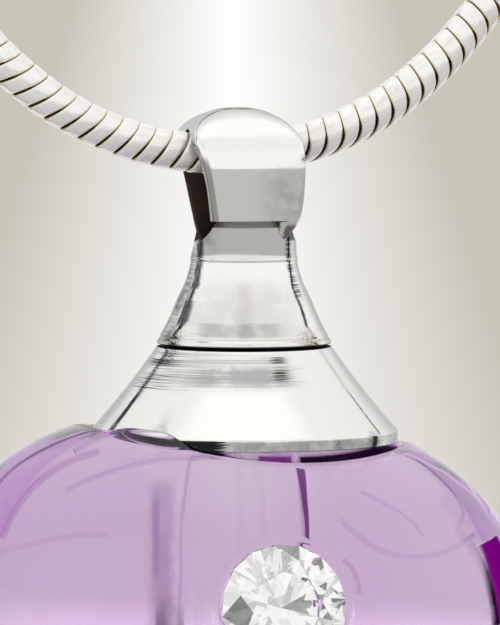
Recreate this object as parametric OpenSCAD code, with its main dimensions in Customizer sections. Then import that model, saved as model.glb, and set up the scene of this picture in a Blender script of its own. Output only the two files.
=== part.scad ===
// Glass locket hung on a snake chain, as it is worn. The bail cap screws off a flared
// collar that caps a solid glass body with a keepsake chamber and a round stone in front.
// Millimetres, +Z up, -Y the front. The origin is the middle of the clasp at the nape.
// Pendant levels are heights above the seam where the cap meets the collar.

/* [Chain] */
// Outer diameter of the snake chain
chain_d = 1.6; // [1.2:0.1:1.6]
// Flat sides of the chain's tube
chain_sides = 8; // [6:1:12]
// Rings of the tube between two points of the long back stretch
back_rings = 3; // [1:1:3]
// Outer diameter of the barrel clasp
clasp_d = 2.8; // [2.2:0.1:3.4]
// Length of the barrel clasp
clasp_length = 10; // [8:1:12]

/* [Bail cap] */
// Width of the bail across the wearer
bail_width = 4.4; // [4:0.1:4.6]
// Width of the bail at its foot
bail_foot_width = 3.6; // [3.2:0.1:3.8]
// Depth of the bail from front to back
bail_depth = 4.9; // [4.6:0.1:5.2]
// Wall of the bail's strap
bail_wall = 0.5; // [0.4:0.05:0.6]
// Height of the bail's top above the seam
bail_top = 9.44; // [9.3:0.02:9.6]
// Height of the slot's floor above the seam
slot_floor = 4; // [3.8:0.1:4.4]
// Diameter of the neck under the bail
neck_d = 4.2; // [4:0.1:4.4]
// Height at which the neck meets the bail
neck_top = 4.9; // [4.6:0.1:5]
// Height at which the neck starts to flare
neck_foot = 3.8; // [3.6:0.1:4]
// Radius of the fillet between neck and cone
neck_fillet = 3.6; // [3:0.2:4.4]
// Half angle of the cone in degrees
cone_slope = 27; // [24:1:30]
// Diameter of the cap's cone at the seam
seam_d = 7; // [6.8:0.1:7.4]
// Open height of the seam
seam_gap = 0.16; // [0.05:0.01:0.2]

/* [Collar] */
// Diameter of the collar's rim
rim_d = 12.34; // [12:0.02:12.6]
// Height of the upright rim band
rim_height = 0.46; // [0.3:0.02:0.6]
// Depth of the rim's underside below the seam
collar_foot = 3.94; // [3.8:0.02:4.2]
// How far the flare dips inside a straight cone
flare_sag = 0.06; // [0.02:0.01:0.2]
// Outer diameter of the spigot in the glass mouth
spigot_d = 4.9; // [4:0.1:4.9]
// Length of the spigot below the rim
spigot_length = 1.7; // [1:0.1:2.5]

/* [Screw] */
// Crest diameter of the screw
screw_d = 3; // [2.6:0.1:3.2]
// Clearance around the screw
screw_clearance = 0.04; // [0.02:0.01:0.08]
// Length of the screw above the seam
screw_up = 2.5; // [2:0.1:2.7]
// Length of the screw below the seam
screw_down = 3.16; // [2.6:0.02:3.6]

/* [Glass] */
// Half of the body's width
glass_half_width = 12.4; // [12:0.1:12.8]
// Half of the body's depth from front to back
glass_half_depth = 9.8; // [9.6:0.1:10.4]
// Depth of the widest level below the seam
glass_middle = 12.7; // [12.4:0.1:13]
// Height of the shoulders above the widest level
glass_rise = 10; // [9.6:0.1:10.4]
// Depth of the bottom below the widest level
glass_drop = 10.4; // [9.6:0.1:11]
// Squareness of the shoulders, where 2 is an ellipse
shoulder_power = 2.5; // [2.4:0.1:2.8]
// Squareness of the bottom
bottom_power = 2.4; // [2:0.1:3]
// Squareness of the outline seen from above
plan_power = 2; // [2:0.1:2.4]
// Lean of the hand-worked body, left shoulder up, in degrees
glass_lean = 2.5; // [0:0.5:3.5]
// Shift of the body towards the left
glass_shift = 0.4; // [0:0.05:0.6]
// Gap between the metal and the glass
glass_gap = 0.04; // [0.02:0.01:0.08]
// Diameter of the keepsake chamber and its mouth
chamber_d = 5; // [5:0.1:5.4]
// Depth of the chamber's bottom below the seam
chamber_foot = 19.2; // [16:0.2:20]

/* [Stone] */
// Diameter of the round stone
stone_d = 5; // [4.5:0.1:5.4]
// Diameter of the stone's flat table
table_d = 2.8; // [2.4:0.1:3.2]
// Height of the crown above the girdle's middle
crown_height = 0.8; // [0.6:0.05:1]
// Thickness of the girdle
girdle = 0.12; // [0.06:0.02:0.2]
// Depth of the pavilion below the girdle's middle
pavilion_depth = 2.15; // [1.9:0.05:2.3]
// Depth of the stone's middle below the seam
stone_level = 9.8; // [9.6:0.1:10.4]
// Distance of the girdle from the pendant's axis
stone_reach = 9.4; // [9.2:0.05:9.5]
// Shift of the stone towards the left
stone_shift = 0.4; // [0:0.05:0.6]
// Upward tilt of the stone, nearly square to the glass, in degrees
stone_tilt = 6; // [0:0.5:9]
// Gap between the stone and its seat
stone_gap = 0.05; // [0.03:0.01:0.1]

/* [Hidden] */
// Segments of a full turn, and how far a cutter runs past what it cuts
smooth = 96;
cut = 0.5;
// Radius of the slot's round floor, and the strap's thickness beside it
slot_foot_r = 1.2;
foot_wall = 0.45;
// Room above the screw's tip in the cap
tip_gap = 0.1;

// The seam's middle on the pendant's axis. The bail hangs just right of the chain's lowest point.
pendant_place = [0.8, -124.2, -108.6];

// One side of the chain's centreline, from the clasp to the lowest point in the bail.
half_route = [
    [clasp_length / 2, 0, 0], [17, -1.8, -0.4], [31, -8, -1.8], [43.7, -18, -4.2], [53.4, -31, -7.8],
    [59.4, -46, -12.6], [61.4, -62, -18.8], [59.6, -77.8, -26.8], [53.8, -91.6, -36.8],
    [45.4, -102.8, -48.8], [35.8, -111, -61.6], [26.4, -116.8, -74], [18.6, -120.8, -84.8],
    [13.9, -123, -91.2], [11, -123.7, -95], [8.6, -124, -97.6], [6, -124.15, -99.5],
    [3, -124.2, -100.66], [0, -124.2, -101]
];
last = len(half_route) - 1;
route = concat(half_route, [for (i = [last - 1 : -1 : 0]) mirrored(half_route[i])]);
spans = len(route) - 1;
// Spans from the clasp down each side that get the extra rings
back_spans = 12;
// Direction across the loop, which keeps the tube's sides from twisting
loop_normal = [0, 0.62, -0.78];
// Direction of the chain where it enters the clasp, the same at both ends
clasp_run = [1, 0, 0];

function mirrored(p) = [-p.x, p.y, p.z];
function unit(v) = v / norm(v);

// Direction of the route at point i, from its two neighbours weighted by their distance.
function heading(i) =
    i == 0 || i == spans ? clasp_run :
    let (ahead = route[i + 1] - route[i], behind = route[i] - route[i - 1])
    unit(unit(ahead) * norm(behind) + unit(behind) * norm(ahead));

// Point at share t of span i, on the cubic that leaves and enters along the headings.
function on_route(i, t) =
    let (a = route[i], b = route[i + 1], d = norm(b - a), m = heading(i) * d, n = heading(i + 1) * d)
    a * (1 - 3 * t * t + 2 * t * t * t) + m * (t - 2 * t * t + t * t * t)
    + b * (3 * t * t - 2 * t * t * t) + n * (t * t * t - t * t);

function rings_in(i) = i < back_spans || i >= spans - back_spans ? back_rings : 1;

centreline = concat(
    [for (i = [0 : spans - 1], k = [0 : rings_in(i) - 1]) on_route(i, k / rings_in(i))],
    [route[spans]]
);

function tangent(line, i) =
    i == 0 || i == len(line) - 1 ? clasp_run : unit(line[i + 1] - line[i - 1]);

// Points of one ring, square to the line.
function ring(line, i, radius, sides) =
    let (t = tangent(line, i), across = unit(cross(t, loop_normal)), out = cross(across, t))
    [for (k = [0 : sides - 1]) let (a = 360 * k / sides)
        line[i] + radius * (cos(a) * across + sin(a) * out)];

// Tube of n sides along a line, closed at both ends.
module tube(line, radius, sides) {
    rings = len(line);
    points = [for (i = [0 : rings - 1]) each ring(line, i, radius, sides)];
    walls = [for (i = [0 : rings - 2], k = [0 : sides - 1])
        let (a = i * sides + k, b = i * sides + (k + 1) % sides)
        each [[a, b, b + sides], [a, b + sides, a + sides]]];
    start = [[for (k = [sides - 1 : -1 : 0]) k]];
    end = [[for (k = [0 : sides - 1]) (rings - 1) * sides + k]];
    polyhedron(points, concat(walls, start, end), convexity = 10);
}

// Snake chain, as one tube along its route.
module chain() {
    color("gainsboro") tube(centreline, chain_d / 2, chain_sides);
}

// Plain barrel clasp across the nape, with softened ends.
module clasp() {
    r = clasp_d / 2;
    half = clasp_length / 2;
    edge = 0.4;
    color("silver") rotate([0, 90, 0]) rotate_extrude($fn = smooth)
        polygon([[0, -half], [r - edge, -half], [r, edge - half], [r, half - edge],
                 [r - edge, half], [0, half]]);
}

// Side outline of the bail: a round arch that tapers to a smaller round foot.
module arch(r, foot_r, foot_z) {
    top_z = bail_top - bail_depth / 2;
    lean = asin((r - foot_r) / (top_z - foot_z));
    translate([0, top_z]) circle(r, $fn = smooth);
    translate([0, foot_z]) circle(foot_r, $fn = smooth);
    polygon([for (p = [[1, top_z, r], [1, foot_z, foot_r], [-1, foot_z, foot_r], [-1, top_z, r]])
        [p[0] * p[2] * cos(lean), p[1] - p[2] * sin(lean)]]);
}

// Front outline of the bail: sides that draw in downwards, under a crowned top.
module bail_front() {
    half = bail_width / 2;
    foot = bail_foot_width / 2;
    crown = 1.54;
    power = 2.45;
    straight = 0.4;
    top = [for (a = [0 : 7.5 : 180])
        [half * sign(cos(a)) * pow(abs(cos(a)), 2 / power),
         bail_top - crown + crown * pow(sin(a), 2 / power)]];
    polygon(concat(top, [[-half, bail_top - crown - straight], [-foot, neck_top], [-foot, neck_foot],
                         [foot, neck_foot], [foot, neck_top], [half, bail_top - crown - straight]]));
}

// Bail before its slot is cut: what its front and side outlines have in common.
module bail_form() {
    intersection() {
        translate([0, bail_depth, 0]) rotate([90, 0, 0]) linear_extrude(2 * bail_depth) bail_front();
        rotate([90, 0, 90]) linear_extrude(2 * bail_width, center = true)
            arch(bail_depth / 2, slot_foot_r + foot_wall, slot_floor + slot_foot_r);
    }
}

// Slot for the chain, open to both sides.
module bail_slot() {
    rotate([90, 0, 90]) linear_extrude(2 * bail_width + 1, center = true)
        arch(bail_depth / 2 - bail_wall, slot_foot_r, slot_floor + slot_foot_r);
}

// Neck and cone under the bail, turned about the pendant's axis.
module cap_turning() {
    neck = neck_d / 2;
    seam = seam_d / 2;
    edge = 0.08;
    ledge = 0.2;
    steps = 6;
    bend = [for (k = [steps : -1 : 0]) let (a = cone_slope * k / steps)
        [neck + neck_fillet * (1 - cos(a)), neck_foot - neck_fillet * sin(a)]];
    rotate_extrude($fn = smooth)
        polygon(concat([[0, 0], [seam - edge, 0], [seam, edge]], bend,
                       [[neck, neck_top - ledge], [neck - ledge, neck_top], [0, neck_top]]));
}

// Bail and cone are one piece of metal, bored from below for the screw.
module cap() {
    color("silver") translate(pendant_place) difference() {
        union() {
            bail_form();
            cap_turning();
        }
        bail_slot();
        translate([0, 0, -cut])
            cylinder(r = screw_d / 2 + screw_clearance, h = screw_up + cut + tip_gap, $fn = smooth);
    }
}

// Plain shank of the screw that joins cap and collar.
module screw() {
    r = screw_d / 2;
    edge = 0.25;
    color("darkgray") translate(pendant_place) rotate_extrude($fn = smooth)
        polygon([[0, -screw_down], [r - edge, -screw_down], [r, edge - screw_down],
                 [r, screw_up], [0, screw_up]]);
}

// Radius of the collar's flare at share t of its height, from the seam down.
function flare(t) = seam_d / 2 + (rim_d / 2 - seam_d / 2) * t - flare_sag * 4 * t * (1 - t);

// Flared collar with its upright rim, and the spigot that stands in the glass mouth.
module collar() {
    foot = -collar_foot;
    shoulder = foot + rim_height;
    steps = 10;
    color("silver") translate(pendant_place) difference() {
        rotate_extrude($fn = smooth)
            polygon(concat(
                [[0, foot - spigot_length], [spigot_d / 2, foot - spigot_length],
                 [spigot_d / 2, foot], [rim_d / 2, foot]],
                [for (k = [steps : -1 : 0]) let (t = k / steps)
                    [flare(t), -seam_gap + (shoulder + seam_gap) * t]],
                [[0, -seam_gap]]));
        translate([0, 0, foot - spigot_length - cut])
            cylinder(r = screw_d / 2 + screw_clearance,
                     h = collar_foot + spigot_length + 2 * cut, $fn = smooth);
    }
}

// Share of the widest outline at share h of the height above or below the middle.
function fullness(h, power) = pow(max(0, 1 - pow(abs(h), power)), 1 / power);

// Point at angle a of the outline seen from above, at share w of its full size.
function plan_point(w, a) = let (e = 2 / plan_power)
    [glass_half_width * w * sign(cos(a)) * pow(abs(cos(a)), e),
     glass_half_depth * w * sign(sin(a)) * pow(abs(sin(a)), e)];

// Outer form of the glass: stacked outlines, closed by one point at each end.
module glass_form() {
    sides = 48;
    levels = 12;
    // Equal turns of the outline give close levels where the form curves most.
    heights = concat([for (k = [levels - 1 : -1 : 1]) -glass_drop * sin(90 * k / levels)],
                     [for (k = [0 : levels - 1]) glass_rise * sin(90 * k / levels)]);
    rows = len(heights);
    body = [for (z = heights, k = [0 : sides - 1])
        let (w = z < 0 ? fullness(z / glass_drop, bottom_power) : fullness(z / glass_rise, shoulder_power),
             p = plan_point(w, 360 * (k + 0.5) / sides))
        [p.x, p.y, z]];
    points = concat(body, [[0, 0, -glass_drop], [0, 0, glass_rise]]);
    foot = rows * sides;
    walls = [for (i = [0 : rows - 2], k = [0 : sides - 1])
        let (a = i * sides + k, b = i * sides + (k + 1) % sides)
        each [[a, b + sides, b], [a, a + sides, b + sides]]];
    bottom = [for (k = [0 : sides - 1]) [foot, k, (k + 1) % sides]];
    top = [for (k = [0 : sides - 1]) let (a = (rows - 1) * sides)
        [foot + 1, a + (k + 1) % sides, a + k]];
    polyhedron(points, concat(walls, bottom, top), convexity = 4);
}

// Turns +Z outwards at the stone's seat.
module at_stone() {
    translate([-stone_shift, -stone_reach, -stone_level]) rotate([90 - stone_tilt, 0, 0]) children();
}

// Glass body, with the place of the collar, the chamber and the stone's seat taken out.
module glass() {
    land = -collar_foot - glass_gap;
    bore = chamber_d / 2;
    seat_r = stone_d / 2 + stone_gap;
    color([0.72, 0.55, 0.78, 0.6]) translate(pendant_place) difference() {
        translate([0, 0, -collar_foot]) rotate([0, glass_lean, 0])
            translate([-glass_shift, 0, collar_foot - glass_middle]) glass_form();
        translate([0, 0, land]) cylinder(r = rim_d / 2 + glass_gap, h = collar_foot, $fn = smooth);
        translate([0, 0, -chamber_foot + bore]) {
            cylinder(r = bore, h = chamber_foot, $fn = smooth);
            sphere(bore, $fn = smooth);
        }
        at_stone() rotate_extrude($fn = smooth)
            polygon([[0, -pavilion_depth - 2 * stone_gap], [seat_r, -girdle / 2], [seat_r, 2], [0, 2]]);
    }
}

// Round brilliant outline: table, crown, girdle and pavilion.
module stone() {
    r = stone_d / 2;
    color("white") translate(pendant_place) at_stone() rotate_extrude($fn = smooth)
        polygon([[0, -pavilion_depth], [r, -girdle / 2], [r, girdle / 2],
                 [table_d / 2, crown_height], [0, crown_height]]);
}

chain();
clasp();
cap();
screw();
collar();
glass();
stone();
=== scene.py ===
# Glass locket on a snake chain, as it is worn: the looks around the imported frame.
# Sizes are in millimetres and pendant levels are heights above the seam between cap and collar.
import math

import bpy
import numpy as np
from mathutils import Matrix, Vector


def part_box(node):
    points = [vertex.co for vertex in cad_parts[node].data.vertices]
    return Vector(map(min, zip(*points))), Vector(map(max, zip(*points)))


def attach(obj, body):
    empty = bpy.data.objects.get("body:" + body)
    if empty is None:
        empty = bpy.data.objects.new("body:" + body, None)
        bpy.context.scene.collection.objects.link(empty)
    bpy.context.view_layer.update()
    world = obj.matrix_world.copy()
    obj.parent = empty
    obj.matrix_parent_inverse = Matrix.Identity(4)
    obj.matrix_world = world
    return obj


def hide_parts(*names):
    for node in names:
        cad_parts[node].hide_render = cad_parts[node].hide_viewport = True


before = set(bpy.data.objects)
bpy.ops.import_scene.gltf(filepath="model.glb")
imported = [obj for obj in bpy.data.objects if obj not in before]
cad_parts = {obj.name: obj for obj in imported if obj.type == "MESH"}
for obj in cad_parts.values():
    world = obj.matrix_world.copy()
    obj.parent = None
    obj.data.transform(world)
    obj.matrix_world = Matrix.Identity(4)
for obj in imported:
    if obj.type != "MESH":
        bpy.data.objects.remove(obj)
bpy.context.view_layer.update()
mm = 0.001
capLow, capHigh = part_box("cap")
seamCentre = np.array([(capLow.x + capHigh.x) / 2, (capLow.y + capHigh.y) / 2, capLow.z])
print("frame loaded, seam at", [round(v / mm, 2) for v in seamCentre])


# Camera

cameraSettings = {
    "azimuth": -12.0,          # degrees from straight in front, minus is towards the wearer's right
    "elevation": 3.5,
    "distance": 420.0,
    "pixelsPerMm": 25.0,
    "framePixels": (500, 625),
    "seamPixel": (244, 343),   # where the seam's middle shows in the picture
    "sensor": 36.0,
}


def makeCamera(s):
    az = math.radians(s["azimuth"])
    el = math.radians(s["elevation"])
    towards = Vector((math.sin(az) * math.cos(el), -math.cos(az) * math.cos(el), math.sin(el)))
    right = Vector((math.cos(az), math.sin(az), 0))
    up = towards.cross(right)
    width, height = s["framePixels"]
    moveRight = (width / 2 - s["seamPixel"][0]) / s["pixelsPerMm"]
    moveUp = (s["seamPixel"][1] - height / 2) / s["pixelsPerMm"]
    aim = Vector(seamCentre) + (right * moveRight + up * moveUp) * mm
    data = bpy.data.cameras.new("pictureCamera")
    data.sensor_width = s["sensor"]
    data.lens = s["sensor"] * s["distance"] * s["pixelsPerMm"] / height
    data.clip_start = 0.01
    data.clip_end = 60
    camera = bpy.data.objects.new("pictureCamera", data)
    bpy.context.scene.collection.objects.link(camera)
    camera.location = aim + towards * s["distance"] * mm
    camera.rotation_euler = (-towards).to_track_quat("-Z", "Y").to_euler()
    bpy.context.scene.camera = camera


makeCamera(cameraSettings)
print("camera placed")


# Mesh helpers

def acrossPicture(x, y):
    # how far right of the axis a place shows in the picture
    turn = math.radians(cameraSettings["azimuth"])
    return x * math.cos(turn) + y * math.sin(turn)


def unitRows(v):
    return v / np.linalg.norm(v, axis=-1, keepdims=True)


def signedPower(v, power):
    return np.sign(v) * np.abs(v) ** power


def smoothStep(v, low, high):
    t = np.clip((v - low) / (high - low), 0, 1)
    return t * t * (3 - 2 * t)


def gridQuads(rows, columns, closeRows=False):
    # one quad between neighbouring rows and columns; the columns always run round
    r = np.arange(rows if closeRows else rows - 1)[:, None]
    c = np.arange(columns)[None, :]
    this = r * columns
    after = (r + 1) % rows * columns
    right = (c + 1) % columns
    return np.stack([this + c, this + right, after + right, after + c], -1).reshape(-1, 4)


def poleFans(rows, columns):
    # triangles from the first and last row to the two pole points that follow the grid
    c = np.arange(columns)
    right = (c + 1) % columns
    pole = rows * columns
    last = (rows - 1) * columns
    start = np.stack([np.full(columns, pole), right, c], -1)
    end = np.stack([np.full(columns, pole + 1), last + c, last + right], -1)
    return np.vstack([start, end])


def signedVolume(points, faces):
    # sum of the tetrahedra from the origin, a fan for each face
    total = 0
    for k in range(1, faces.shape[1] - 1):
        a, b, c = points[faces[:, 0]], points[faces[:, k]], points[faces[:, k + 1]]
        total += np.einsum("ij,ij->i", a, np.cross(b, c)).sum() / 6
    return total


def meshObject(name, points, faces):
    mesh = bpy.data.meshes.new(name)
    mesh.from_pydata(points.tolist(), [], faces)
    piece = bpy.data.objects.new(name, mesh)
    bpy.context.scene.collection.objects.link(piece)
    return piece


def addObject(name, points, faceSets, sharpAngle=40):
    # faces are turned as a whole so that the closed surface points outwards
    middle = points - points.mean(axis=0)
    if sum(signedVolume(middle, faces) for faces in faceSets) < 0:
        faceSets = [faces[:, ::-1] for faces in faceSets]
    piece = meshObject(name, points, [face for faces in faceSets for face in faces.tolist()])
    mesh = piece.data
    mesh.validate()
    mesh.polygons.foreach_set("use_smooth", np.full(len(mesh.polygons), True))
    if sharpAngle < 180:
        mesh.set_sharp_from_angle(angle=math.radians(sharpAngle))
    return piece


def storeValues(piece, name, values, domain="POINT", kind="FLOAT"):
    # one number, or one vector, for each point or face
    layer = piece.data.attributes.new(name, kind, domain)
    key = "vector" if kind == "FLOAT_VECTOR" else "value"
    layer.data.foreach_set(key, values.reshape(-1).astype(np.float32))


def onPendant(points):
    # from millimetres about the seam's middle to the frame
    return points.reshape(-1, 3) * mm + seamCentre


def poledSurface(name, grid, firstPole, lastPole, sharpAngle=40):
    rows, columns = grid.shape[:2]
    points = np.vstack([grid.reshape(-1, 3), [firstPole], [lastPole]])
    return addObject(name, onPendant(points), [gridQuads(rows, columns), poleFans(rows, columns)], sharpAngle)


def turnedGrid(profile, columns):
    # each profile point (radius, height) carried round the pendant's axis
    turn = np.linspace(0, 2 * math.pi, columns, endpoint=False)
    radius = profile[:, 0][:, None]
    height = np.broadcast_to(profile[:, 1][:, None], (len(profile), columns))
    return np.stack([radius * np.cos(turn), radius * np.sin(turn), height], -1)


def softenedOutline(corners, steps=4):
    # corners are (radius, height, cut); a cut corner is replaced by a curve that starts and ends
    # that far along its two edges
    points = []
    flat = np.array([c[:2] for c in corners], float)
    for i, (_, _, cut) in enumerate(corners):
        if cut == 0:
            points.append(flat[i])
            continue
        before = flat[i] + cut * unitRows(flat[i - 1] - flat[i])
        after = flat[i] + cut * unitRows(flat[(i + 1) % len(flat)] - flat[i])
        for t in np.linspace(0, 1, steps):
            points.append(before * (1 - t) ** 2 + 2 * flat[i] * t * (1 - t) + after * t ** 2)
    return np.array(points)


def boolean(piece, other, operation, sharpAngle=40):
    # the exact solver's result takes the place of the piece's mesh, and the other object goes
    step = piece.modifiers.new("solid", "BOOLEAN")
    step.object = other
    step.operation = operation
    step.solver = "EXACT"
    bpy.context.view_layer.update()
    result = bpy.data.meshes.new_from_object(piece.evaluated_get(bpy.context.evaluated_depsgraph_get()))
    piece.modifiers.clear()
    old = piece.data
    piece.data = result
    result.name = old.name
    bpy.data.meshes.remove(old)
    bpy.data.objects.remove(other)
    result.polygons.foreach_set("use_smooth", np.full(len(result.polygons), True))
    result.set_sharp_from_angle(angle=math.radians(sharpAngle))


# Material helpers

def feed(tree, made, inputs):
    # links each socket and sets each plain value
    for key, value in inputs.items():
        if isinstance(value, bpy.types.NodeSocket):
            tree.links.new(value, made.inputs[key])
        else:
            made.inputs[key].default_value = value


def node(tree, kind, inputs=None, **properties):
    made = tree.nodes.new(kind)
    for key, value in properties.items():
        setattr(made, key, value)
    feed(tree, made, inputs or {})
    return made


def calc(tree, operation, *values):
    return node(tree, "ShaderNodeMath", dict(enumerate(values)), operation=operation).outputs[0]


def plus(tree, first, second):
    return calc(tree, "ADD", first, second)


def minus(tree, first, second):
    return calc(tree, "SUBTRACT", first, second)


def times(tree, first, *others):
    for other in others:
        first = calc(tree, "MULTIPLY", first, other)
    return first


def vectorCalc(tree, operation, *values):
    made = node(tree, "ShaderNodeVectorMath", dict(enumerate(values)), operation=operation)
    return made.outputs["Value" if operation in ("DISTANCE", "LENGTH", "DOT_PRODUCT") else "Vector"]


def stored(tree, name, output="Fac"):
    # a value that the mesh carries
    return node(tree, "ShaderNodeAttribute", attribute_name=name).outputs[output]


def spread(tree, value, low, high, start=0.0, end=1.0):
    # value from low to high becomes start to end, softly
    inputs = {"Value": value, "From Min": low, "From Max": high, "To Min": start, "To Max": end}
    return node(tree, "ShaderNodeMapRange", inputs, interpolation_type="SMOOTHSTEP").outputs["Result"]


def fade(tree, value, low, high):
    # 1 up to low, 0 from high on
    return spread(tree, value, low, high, 1.0, 0.0)


def mixColour(tree, share, first, second):
    made = node(tree, "ShaderNodeMix", {"Factor": share}, data_type="RGBA")
    for name, value in (("A", first), ("B", second)):
        socket = next(s for s in made.inputs if s.name == name and s.type == "RGBA")
        if isinstance(value, bpy.types.NodeSocket):
            tree.links.new(value, socket)
        else:
            socket.default_value = value
    return next(s for s in made.outputs if s.type == "RGBA")


def grain(tree, scale, stretch=(1, 1, 1), detail=4.0, roughness=0.55, centre=seamCentre):
    # noise on Object coordinates; scale is in waves per millimetre
    coordinates = node(tree, "ShaderNodeTexCoord").outputs["Object"]
    size = tuple(scale * s / mm for s in stretch)
    place = tuple(-c * k for c, k in zip(centre, size))
    mapped = node(tree, "ShaderNodeMapping", {"Vector": coordinates, "Scale": size, "Location": place})
    made = node(tree, "ShaderNodeTexNoise", {"Vector": mapped.outputs[0], "Scale": 1.0, "Detail": detail,
                                             "Roughness": roughness})
    return made.outputs["Fac"]


def bump(tree, height, depth, normal=None):
    # depth is in millimetres
    inputs = {"Height": height, "Distance": depth * mm, "Strength": 1.0}
    if normal is not None:
        inputs["Normal"] = normal
    return node(tree, "ShaderNodeBump", inputs).outputs["Normal"]


def newMaterial(name, colour):
    material = bpy.data.materials.new(name)
    material.use_nodes = True
    material.diffuse_color = colour
    tree = material.node_tree
    return material, tree, tree.nodes["Principled BSDF"]


def dress(piece, material, body, slot, *replaced):
    piece.data.materials.clear()
    piece.data.materials.append(material)
    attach(piece, body)
    if replaced:
        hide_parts(*replaced)


# Metals

polishSettings = {
    "limb": (0.56, 0.56, 0.57, 1),      # what the metal reflects at a glancing angle
    "silver": (0.95, 0.945, 0.93, 1),
    "tarnish": (0.62, 0.50, 0.36, 1),
    # dark brown for oxide and painted shade in hollows, in the seam and under overhangs
    "oxideAndShade": (0.050, 0.035, 0.027, 1),
    "roughness": (0.05, 0.13),
}
# columns of a patch of painted shade and painted reflection, on the side towards the picture's camera: lowest
# and highest level, left and right end as shares of the radius, tone, softness of the levels in mm and of the
# ends, share of lines against clouds, how far the lines move the ends, and its noise (from, to, and the
# amounts there)
usualNoise = (0.36, 0.56, 0.35, 1.0)


def pendantPlace(tree):
    # Object coordinates in millimetres about the seam's middle, turned to the picture's side:
    # across to the right, depth towards the viewer's side, level up, and the distance from the axis
    coordinates = node(tree, "ShaderNodeTexCoord").outputs["Object"]
    moved = vectorCalc(tree, "SUBTRACT", coordinates, tuple(seamCentre))
    place = vectorCalc(tree, "MULTIPLY", moved, (1 / mm,) * 3)
    x, y, level = node(tree, "ShaderNodeSeparateXYZ", {0: place}).outputs
    turn = math.radians(cameraSettings["azimuth"])
    across = plus(tree, times(tree, x, math.cos(turn)), times(tree, y, math.sin(turn)))
    depth = minus(tree, times(tree, x, math.sin(turn)), times(tree, y, math.cos(turn)))
    radius = calc(tree, "SQRT", plus(tree, times(tree, x, x), times(tree, y, y)))
    return {"vector": place, "across": across, "depth": depth, "level": level, "radius": radius}


def between(tree, value, low, high, edge):
    return times(tree, spread(tree, value, low - edge, low + edge),
                 fade(tree, value, high - edge, high + edge))


def polishedSilver(name, look):
    # look: levels that carry turning lines and their depth, depth of the hand-polished waves,
    # patches of painted shade and painted reflection, and stains
    s = polishSettings
    material, tree, shader = newMaterial(name, s["silver"])
    feed(tree, shader, {"Metallic": 1, "Specular Tint": s["limb"]})
    place = pendantPlace(tree)
    cloud = grain(tree, 1.3)
    speck = grain(tree, 9.0, detail=6)
    dust = grain(tree, 16.0, detail=6, roughness=0.75)
    lines = grain(tree, 1.0, (0.12, 0.12, 15), detail=3, roughness=0.7)
    fine = grain(tree, 1.0, (0.4, 0.4, 60), detail=2)
    specks = times(tree, spread(tree, speck, 0.56, 0.8), spread(tree, cloud, 0.5, 0.7))
    tarnished = tuple(0.75 * a + 0.25 * b for a, b in zip(s["silver"], s["tarnish"]))
    colour = mixColour(tree, specks, s["silver"], tarnished)
    share = calc(tree, "DIVIDE", place["across"], place["radius"])
    # painted shade and painted reflections go only on the side towards the picture's camera
    front = spread(tree, place["depth"], -0.2, 0.2)
    waver = minus(tree, lines, 0.5)
    for levels, sides, tone, edge, sideEdge, streaks, ripple, noise in look.get("shadeAndReflectionPatches", []):
        zone = between(tree, place["level"], *levels, edge)
        ends = between(tree, plus(tree, share, times(tree, waver, ripple)), *sides, sideEdge)
        blend = plus(tree, times(tree, lines, streaks), times(tree, cloud, 1 - streaks))
        amount = times(tree, zone, ends, front, spread(tree, blend, *noise))
        tone = tuple(c * tone for c in s["silver"][:3]) + (1,)
        colour = mixColour(tree, amount, colour, tone)
    for stain in look.get("stains", []):
        away = vectorCalc(tree, "DISTANCE", place["vector"], stain["place"])
        near = spread(tree, away, 0.0, stain["size"], 0.2, 0.0)
        spots = spread(tree, plus(tree, dust, near), 0.60, 0.74, 0.0, stain.get("amount", 0.85))
        spots = times(tree, spots, spread(tree, near, 0.0, 0.1))
        colour = mixColour(tree, spots, colour, stain.get("colour", (0.03, 0.027, 0.025, 1)))
    # oxide and painted shade, as the mesh stores it
    oxideAndShade = stored(tree, "oxideAndShade")
    colour = mixColour(tree, oxideAndShade, colour, s["oxideAndShade"])
    low, high = s["roughness"]
    wear = plus(tree, spread(tree, cloud, 0.35, 0.7, low, high),
                times(tree, spread(tree, speck, 0.62, 0.75), 0.10))
    wear = plus(tree, wear, times(tree, oxideAndShade, 0.35))
    strength = plus(tree, between(tree, place["level"], *look["lines"], 0.15), 0.05)
    lineHeight = times(tree, plus(tree, lines, times(tree, fine, 0.25)), strength)
    normal = bump(tree, lineHeight, look["lineDepth"])
    normal = bump(tree, grain(tree, 0.55, detail=1), look["waveDepth"], normal)
    normal = bump(tree, grain(tree, 1.9, detail=2), look["waveDepth"] * 0.16, normal)
    normal = bump(tree, speck, 0.0006, normal)
    feed(tree, shader, {"Base Color": colour, "Roughness": wear, "Normal": normal})
    return material


chainTones = {
    "plain": (0.96, 0.955, 0.94, 1), "metallic": 0.42,
    "bright": (1.0, 0.995, 0.985, 1), "dull": (0.90, 0.885, 0.86, 1), "brushed": (0.84, 0.82, 0.79, 1),
    # under is the painted shade on the links' undersides
    "under": (0.66, 0.65, 0.63, 1), "gold": (0.74, 0.58, 0.30, 1), "goldDark": (0.17, 0.11, 0.05, 1),
    "core": (0.035, 0.022, 0.012, 1), "coreLight": (0.14, 0.095, 0.05, 1),
}


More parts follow.
